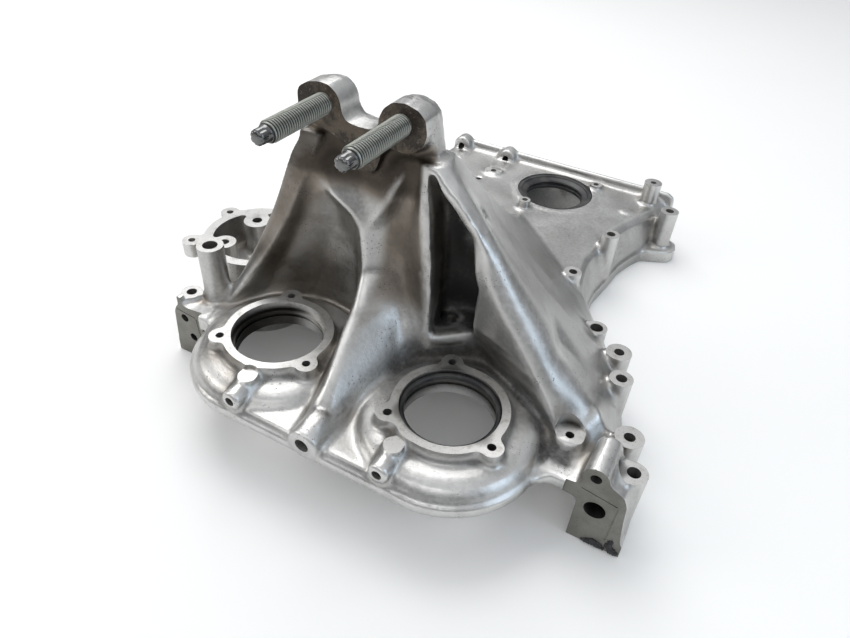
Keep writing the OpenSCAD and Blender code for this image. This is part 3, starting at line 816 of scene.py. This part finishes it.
def fill(field):
    """Bosses stand higher and without their holes until they are faced and drilled."""
    for p, r, top, _ in FLANGE_BOSSES:
        field.add_post(p, r + 0.3, 8.0, top + STOCK)
    for p, r, top, _, _ in DECK_BOSSES:
        field.add_post(p, r + 0.4, DECK_Z - 4.0, top + STOCK)
    for x in CAM_X:
        field.add_post((x, 0.0), RING_R, LOBE_Z + 8.0, RING_Z + STOCK)
        for px, py in screw_places():
            field.add_post((x + px, py), RING_EAR_R, LOBE_Z + 9.0, RING_Z + STOCK)
    field.add_post(CRANK, CRANK_BORE + 4.3, DECK_Z - 9.0, DECK_Z + 0.6)
    field.add_post(PORT, PORT_R, 10.0, RING_Z + STOCK, PORT_BORE)
    for p in PORT_EARS:
        field.add_post(p, PORT_EAR_R, RING_Z - 12.0, RING_Z + STOCK)
    for p, r, _ in PORT_BOSSES:
        field.add_post(p, r + 0.3, RING_Z - 30.0, RING_Z + 3.5)
    field.add_post(TUBE, TUBE_R, 20.0, TUBE_TOP + STOCK)
    for x in LUG_X:
        field.add_bar((x, LUG_Z), LUG_R, -55.0, -34.0)
        field.add_post((x, LUG_Y), LUG_R - 0.4, LOBE_Z + 6.0, LUG_TOP + 1.2)
    field.add_bar(MID_BOSS, 9.7, -56.6, -18.0)
    field.add_bar(LEG_BOSS, 7.3, -0.3, 27.0)
    field.add_bar(LEG_HOLE, 6.8, 3.0, 20.0)
    for x, z in RIM_HOLES:
        field.add_bar((x, z - 3.0), 8.0, 318.0, RIM_FACE)
        field.add_bar((x, z), RIM_EAR_R, RIM_FACE, RIM_BACK - 0.2)
        field.clear((x - 12.0, 314.0, DECK_Z), (x + 12.0, RIM_FACE + 4.0, z + 12.0),
                    RIM_FACE, DECK_Z + 0.8)
    for x in STUD_X:
        field.add_bar((x, STUD_Z), STUD_R + 1.0, MOUNT_Y + 0.5, MOUNT_Y + 14.0)
    field.add_bar(THIRD_HOLE, THIRD_HOLE_R + 0.9, MOUNT_Y + 0.5, MOUNT_Y + 15.0)
    # closes a pit behind the ridge of the right wing
    field.add_post(WING_PIT, 4.0, RING_Z - 5.0, RING_Z + 17.0)


def draw_faces(field):
    """Carries the sections under the flat faces on past them, so that they can be faced off."""
    pads = RING_Z + 115.0
    front = MOUNT_Y - 7.0
    back = MOUNT_Y + 5.0
    inside = MOUNT_Y + 3.0
    outside = MOUNT_Y - 3.0
    field.draw_out((-9.0, front, pads), (78.0, back, pads + 33.0), 1, inside, outside)
    field.draw_out((24.0, front, pads - 18.0), (48.0, back, pads + 2.0), 1, inside, outside)
    field.draw_out((192.0, -12.0, -8.0), (236.0, 12.0, 66.0), 1, 7.0, -4.0)
    field.draw_out((-102.0, -12.0, -8.0), (-57.0, 9.0, 52.0), 1, 5.0, -4.0)
    field.draw_out((-140.0, -70.0, -8.0), (240.0, 360.0, 8.0), 2, 4.0, -5.0)


def soften(field):
    """Fillets and rounded edges of a casting."""
    fillet = 2.8
    edge = 0.9
    wing_edge = 6.0
    hard = field.values
    soft = blur(hard, fillet)
    crisp = blur(hard, edge)
    filleted = np.minimum(soft, crisp)
    x, y, z = field.coordinates()
    # the tower flows more softly than the flange
    tower = window(z, RING_Z - 14.0, RING_Z + 8.0, RING_Z + 94.0, RING_Z + 104.0)
    away = np.minimum(np.hypot(x, y), np.hypot(x - CAM_PITCH, y))
    tower = tower * ramp(away, 42.0, 50.0) * ramp(x, -62.0, -54.0)
    tower = tower * ramp(y, 250.0, 235.0) * ramp(x - 0.5 * z, 150.0, 130.0)
    body = filleted + (soft - filleted) * tower * 0.75
    # the front edge of the right wing is rounded well over
    wing = ramp(z, RING_Z - 20.0, RING_Z - 6.0) * ramp(x + 0.8 * z, 205.0, 222.0)
    wing = wing * ramp(y, 76.0, 62.0) * ramp(z, RING_Z + 104.0, RING_Z + 60.0)
    wing = wing * ramp(x, 194.0, 186.0)
    body = body + (blur(hard, wing_edge) - body) * wing
    field.values = body.astype(np.float32)


def skin(field):
    """The field's surface as a mesh, thinned and then machined."""
    points, faces, count = field.polygons()
    obj = new_object("cover_skin", to_row(points), faces, [CAST, MACHINED, PAD, JOINT])
    modifier = obj.modifiers.new("thin", "DECIMATE")
    modifier.ratio = min(1.0, SKIN_TRIANGLES / count)
    apply(obj)
    # shapes that overlap are cut in separate passes
    passes = (face_cutters, boss_cutters, hole_cutters, step_cutters, groove_cutters,
              pad_cutters, foot_cutter, line_cutters, joint_cutter)
    for make in passes:
        cut(obj, make)
    return obj


def oil_run(x, y, z):
    """Front of the tower, where the oil ran down."""
    return ramp(z, -32.0, -6.0) * ramp(y, 80.0, 55.0) * ramp(x, 84.0, 62.0)


def left_edge(x, y, z):
    """Left edge of the tower's front."""
    return ramp(y, 48.0, 42.0) * ramp(x, 14.0, 4.0) * window(z, 0.0, 30.0, 112.0, 124.0)


def oil_film(x, y, z, cavity):
    """Brown film on the tower's front, left scoop, right flank and head, and in hollows."""
    scoop = 0.04 + 0.44 * ramp(x, 24.0, -6.0) + 0.32 * left_edge(x, y, z)
    stain = oil_run(x, y, z) * scoop * ramp(x, -80.0, -40.0)
    flank = window(x, 42.0, 52.0, 78.0, 86.0) * window(z, 10.0, 32.0, 84.0, 102.0)
    stain = np.maximum(stain, 0.78 * flank * ramp(y, 70.0, 60.0))
    head = window(z, 74.0, 96.0, 114.0, 128.0) * ramp(y, 60.0, 50.0)
    stain = np.maximum(stain, 1.1 * head * ramp(x, 80.0, 72.0))
    return np.maximum(stain, 0.55 * ramp(cavity, 0.53, 0.66))


def painted_shade_and_dirt(x, y, z, cavity, depth):
    """Painted shade in the corners, deep hollows, deep pocket and left opening, and painted shade
    with dirt round the rings and under a boss.
    """
    # painted shade in the deep pocket, darker deeper in
    pocket_shade = window(x, 74.0, 80.0, 112.0, 124.0) * window(y, 24.0, 38.0, 80.0, 90.0)
    pocket_shade = pocket_shade * window(z, 0.0, 10.0, 92.0, 112.0)
    dirt_and_shade = 0.95 * pocket_shade * ramp(depth, 0.44, 0.56)
    # painted shade in concave corners, lower down
    corner = ramp(cavity, 0.57, 0.76) * ramp(z, 60.0, -10.0)
    dirt_and_shade = np.maximum(dirt_and_shade, 0.6 * corner * (1.0 - 0.7 * oil_run(x, y, z)))
    # painted shade in deep hollows
    dirt_and_shade = np.maximum(dirt_and_shade, 0.9 * ramp(depth, 0.66, 0.82))
    # the painted shade is left off the front of the pocket's floor, where light reaches it
    floor = window(x, 76.0, 82.0, 112.0, 120.0) * window(y, 30.0, 36.0, 54.0, 60.0)
    floor = floor * window(z, -14.0, -8.0, 1.0, 5.0)
    dirt_and_shade = dirt_and_shade * (1.0 - 0.85 * floor)
    # painted shade and old oil in the hollow under the boss beside the end leg
    boss_foot_shade_and_oil = ramp(np.hypot(x - 177.0, y - 9.0), 20.0, 8.0) * window(z, -40.0, -30.0, -13.0, -8.0)
    dirt_and_shade = np.maximum(dirt_and_shade, 0.8 * boss_foot_shade_and_oil * ramp(cavity, 0.42, 0.52))
    # painted shade and dirt in the hollow round the back of the right ring
    left = np.hypot(x, y)
    right = np.hypot(x - CAM_PITCH, y)
    band = window(right, 36.0, 43.0, 52.0, 64.0) * ramp(y, 0.0, 14.0)
    band = band * window(z, -34.0, -26.0, 0.0, 12.0) * ramp(x, 62.0, 74.0)
    dirt_and_shade = np.maximum(dirt_and_shade, 0.72 * band * ramp(cavity, 0.44, 0.54))
    # painted shade and dirt round the foot of both rings, and painted shade in the left opening,
    # darker on its left side
    ring_foot_shade_and_dirt = window(np.minimum(left, right), 31.0, 33.0, 39.0, 47.0) * ramp(z, -2.0, -6.0)
    dirt_and_shade = np.maximum(dirt_and_shade, 0.6 * ring_foot_shade_and_dirt * ramp(cavity, 0.49, 0.6))
    bore_shade = ramp(left, 31.0, 29.5) * window(z, -28.0, -22.0, -5.0, -1.0)
    return np.maximum(dirt_and_shade, bore_shade * (0.2 + 0.6 * ramp(x, 8.0, -14.0)))


def paint(obj, field):
    """Stores how stained, dirty and rubbed each point of the casting is, and how much painted
    shade and painted highlight it gets.
    """
    mesh = obj.data
    co = np.empty(len(mesh.vertices) * 3, np.float32)
    mesh.vertices.foreach_get("co", co)
    co = co.reshape(-1, 3) * MM_PER_METRE + ORIGIN
    # how far each point lies in a hollow, at two scales
    step = 2 * VOXEL
    solid = np.clip(0.5 - field.values / step, 0.0, 1.0)[::2, ::2, ::2]
    cavity = field.sample(blur(solid, 5.0, step), co, step)
    depth = field.sample(blur(solid, 14.0, step), co, step)
    # heights are about the faces of the cam rings
    x, y, z = co[:, 0], co[:, 1], co[:, 2] - RING_Z
    made = {
        "stain": oil_film(x, y, z, cavity),
        "dirt_and_shade": painted_shade_and_dirt(x, y, z, cavity, depth),
        # convex points are made brighter: rubbed edges and painted highlight, less on the tower's
        # left edge
        "wear_and_highlight": ramp(cavity, 0.44, 0.34) * (0.8 - 0.7 * left_edge(x, y, z))}
    for name, values in made.items():
        attribute = mesh.attributes.new(name, "FLOAT", "POINT")
        attribute.data.foreach_set("value", values.astype(np.float32))


def casting():
    """The casting's smooth skin with its machined faces, holes and stains, and its painted shade
    and highlights.
    """
    field = Field(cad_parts["cover_casting"])
    fill(field)
    draw_faces(field)
    soften(field)
    obj = skin(field)
    paint(obj, field)
    smooth(obj, 38.0)
    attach(obj, "root")
    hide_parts("cover_casting")


# studs, seals and sealant


def grid_faces(rows, columns):
    """Faces between rows of points that close on themselves."""
    faces = []
    for r in range(rows - 1):
        low = r * columns
        high = low + columns
        for c in range(columns):
            n = (c + 1) % columns
            faces.append((low + c, low + n, high + n, high + c))
    return faces


def thread_row(s, around):
    """Radius, angle, place along the stud and share of the thread's depth, round one turn."""
    row = []
    for c in range(around):
        a = 2.0 * math.pi * c / around
        t = (s / THREAD_PITCH - c / around) % 1.0
        wave = abs(2.0 * t - 1.0)
        depth = THREAD_DEPTH * min(max((wave - 0.12) / 0.76, 0.0), 1.0)
        # the first turn runs out in a chamfer
        lead = min(max((THREAD_OUT - s) / 2.4, 0.0), 1.0)
        r = min(STUD_R - 0.03 - depth, 4.75 + 1.25 * lead)
        row.append((r, a, s, depth / THREAD_DEPTH))
    return row


def star_row(r, height, share, around):
    """The same for a turn round the star tip, which has no thread."""
    row = []
    for c in range(around):
        a = 2.0 * math.pi * c / around
        dent = max(0.0, math.cos(6.0 * a)) ** 1.5
        row.append((r - 0.5 * share * dent, a, THREAD_OUT + height, 0.0))
    return row


def stud(x, verts, faces, slots, roots):
    """Adds a stud: the thread as a helix, a chamfer and a rounded star tip."""
    around = 48
    length = THREAD_OUT + THREAD_IN
    steps = int(round(length / THREAD_PITCH * 8))
    rows = [thread_row(-THREAD_IN + length * k / steps, around) for k in range(steps + 1)]
    thread_faces = (len(rows) - 1) * around
    rows += [star_row(r, height, share, around) for r, height, share in STAR_TIP]
    base = len(verts)
    for row in rows:
        for r, a, s, root in row:
            roots.append(root)
            verts.append((x + r * math.cos(a), MOUNT_Y - s, STUD_Z + r * math.sin(a)))
    sides = [tuple(base + i for i in f) for f in grid_faces(len(rows), around)]
    last = base + (len(rows) - 1) * around
    inner_end = tuple(base + c for c in reversed(range(around)))
    outer_end = tuple(last + c for c in range(around))
    faces += sides + [inner_end, outer_end]
    slots += [0 if k < thread_faces else 1 for k in range(len(sides))] + [0, 1]


def studs():
    """Both mount studs, with how deep each point lies in the thread."""
    verts = []
    faces = []
    slots = []
    roots = []
    for x in STUD_X:
        stud(x, verts, faces, slots, roots)
    obj = new_object("thread_pair", to_row(verts), faces, [THREAD, TIP])
    obj.data.polygons.foreach_set("material_index", slots)
    obj.data.attributes.new("root", "FLOAT", "POINT").data.foreach_set("value", roots)
    outward(obj)
    smooth(obj, 35.0)
    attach(obj, "root")
    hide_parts("mount_studs")


def lathe(name, centre, z, profile, material, node):
    """Ring turned from a closed outline of radius and height."""
    around = 144
    verts = []
    for r, h in profile:
        for c in range(around):
            a = 2.0 * math.pi * c / around
            verts.append((centre[0] + r * math.cos(a), centre[1] + r * math.sin(a), z + h))
    faces = grid_faces(len(profile), around)
    last = (len(profile) - 1) * around
    for c in range(around):
        n = (c + 1) % around
        faces.append((last + c, last + n, n, c))
    obj = new_object(name, to_row(verts), faces, [material])
    outward(obj)
    smooth(obj, 40.0)
    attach(obj, "root")
    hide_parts(node)


def rounded(profile, size):
    """The outline with each corner cut twice, so that it shades as a small radius."""
    out = []
    count = len(profile)
    for k in range(count):
        p = np.array(profile[k], float)
        a = np.array(profile[k - 1], float) - p
        b = np.array(profile[(k + 1) % count], float) - p
        la = np.linalg.norm(a)
        lb = np.linalg.norm(b)
        s = min(size, 0.35 * la, 0.35 * lb)
        p0 = p + a / la * s
        p1 = p + b / lb * s
        out += [tuple(p0), tuple(0.25 * p0 + 0.5 * p + 0.25 * p1), tuple(p1)]
    return out


def seals():
    """The two rubber seals as rings with lips, and the material of the garter spring."""
    lathe("crank_lip_seal", CRANK, DECK_Z, rounded(CRANK_SEAL, 0.35), RUBBER,
          "crank_seal")
    lathe("cam_opening_seal", (CAM_PITCH, 0.0), RING_Z, rounded(OPENING_SEAL, 0.4), RUBBER,
          "opening_seal")
    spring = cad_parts["garter_spring"]
    spring.data.materials.clear()
    spring.data.materials.append(TIP)


def sealant():
    """Old sealant squeezed out round the foot of the right end block."""
    step = 0.45
    blend = 1.2
    far = 9.0
    low = np.array((204.0, -5.0, -1.0))
    size = (58, 28, 34)
    axes = [low[k] + step * np.arange(size[k]) for k in range(3)]
    x, y, z = np.meshgrid(*axes, indexing="ij", sparse=True)
    lump = np.full(size, far)
    for bx, bz, r in SEALANT_LUMPS:
        near = np.sqrt((x - bx) ** 2 + ((y + 0.1) * 1.7) ** 2 + (z - bz) ** 2) - r
        mix = np.clip(0.5 + 0.5 * (near - lump) / blend, 0.0, 1.0)
        lump = near + (lump - near) * mix - blend * mix * (1.0 - mix)
    lump = lump + 0.35 * np.sin(2.3 * x) * np.sin(2.9 * z + 0.8) + 0.2 * np.sin(4.1 * x + 1.7 * z)
    # stays above the joint face and inside the end block's width
    lump = np.maximum(lump, np.maximum(0.1 - z, x - 228.6))
    grid = openvdb.FloatGrid(far)
    grid.transform = openvdb.createLinearTransform(step)
    start = tuple(int(round(v / step)) for v in low)
    grid.copyFromArray(lump.astype(np.float32), ijk=start)
    points, faces, _ = grid_polygons(grid)
    obj = new_object("old_sealant", to_row(points), faces, [SEALANT])
    smooth(obj, 60.0)
    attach(obj, "root")


# camera, light and floor


def camera():
    """The camera that was fitted to the photograph."""
    rows = np.array([
        [0.874218, 0.482787, 0.051572],
        [0.342732, -0.538373, -0.769863],
        [-0.343915, 0.690704, -0.636122]])
    place = to_row((214.97, -231.10, 266.48 + RING_Z))
    matrix = Matrix.Identity(4)
    for k in range(3):
        matrix[k][0] = rows[0][k]
        matrix[k][1] = -rows[1][k]
        matrix[k][2] = -rows[2][k]
        matrix[k][3] = place[k]
    data = bpy.data.cameras.new("camera")
    data.sensor_fit = "HORIZONTAL"
    data.sensor_width = SENSOR_WIDTH
    data.lens = FOCAL_PIXELS / IMAGE_PIXELS * SENSOR_WIDTH
    data.clip_start = 0.01
    data.clip_end = 50.0
    obj = bpy.data.objects.new("camera", data)
    obj.matrix_world = matrix
    scene.collection.objects.link(obj)
    scene.camera = obj


def lamp(name, place, target, size, power, colour):
    """Rectangular lamp that looks at a target."""
    data = bpy.data.lights.new(name, "AREA")
    data.shape = "RECTANGLE"
    data.size = size[0]
    data.size_y = size[1]
    data.energy = power
    data.color = colour
    obj = bpy.data.objects.new(name, data)
    obj.location = place
    aim = Vector(target) - Vector(place)
    obj.rotation_euler = aim.to_track_quat("-Z", "Y").to_euler()
    scene.collection.objects.link(obj)


def table():
    """Pale floor, just under the joint face."""
    size = 6.0
    floor = new_object(
        "floor", [(-size, -size, 0), (size, -size, 0), (size, size, 0), (-size, size, 0)],
        [(0, 1, 2, 3)], [])
    floor.location.z = -0.0004
    n = Nodes("pale_table")
    n.set(base_color=n.mix(n.noise(3.0), rgb(0.84, 0.84, 0.83), rgb(0.87, 0.87, 0.86)))
    n.shader.inputs["Roughness"].default_value = 0.7
    n.shader.inputs["Specular IOR Level"].default_value = 0.1
    # the table looks white to the camera and keeps its shadow
    path = n.tree.nodes.new("ShaderNodeLightPath")
    seen = n.math("MAXIMUM", path.outputs["Is Camera Ray"], path.outputs["Is Transmission Ray"])
    n.shader.inputs["Emission Color"].default_value = rgb(1.0, 1.0, 0.985)
    n.put(n.math("MULTIPLY", seen, 0.06), n.shader.inputs["Emission Strength"])
    floor.data.materials.append(n.material)


def studio():
    """Soft light, stronger from above, and a pale background for the camera."""
    world = bpy.data.worlds.new("studio")
    world.use_nodes = True
    tree = world.node_tree
    background = tree.nodes["Background"]
    place = tree.nodes.new("ShaderNodeTexCoord")
    split = tree.nodes.new("ShaderNodeSeparateXYZ")
    tree.links.new(place.outputs["Generated"], split.inputs["Vector"])
    rise = tree.nodes.new("ShaderNodeMapRange")
    rise.interpolation_type = "SMOOTHSTEP"
    tree.links.new(split.outputs["Z"], rise.inputs["Value"])
    rise.inputs["From Min"].default_value = -0.05
    rise.inputs["From Max"].default_value = 0.9
    rise.inputs["To Min"].default_value = 0.18
    rise.inputs["To Max"].default_value = 0.74
    light = tree.nodes.new("ShaderNodeLightPath")
    shown = tree.nodes.new("ShaderNodeMix")
    tree.links.new(light.outputs["Is Camera Ray"], shown.inputs["Factor"])
    tree.links.new(rise.outputs["Result"], shown.inputs["A"])
    shown.inputs["B"].default_value = 1.0
    tree.links.new(shown.outputs["Result"], background.inputs["Strength"])
    background.inputs["Color"].default_value = rgb(0.95, 0.97, 1.0)
    scene.world = world


camera()
table()
studio()
for settings in LAMPS:
    lamp(*settings)
casting()
studs()
seals()
sealant()
scene.view_settings.view_transform = "Standard"
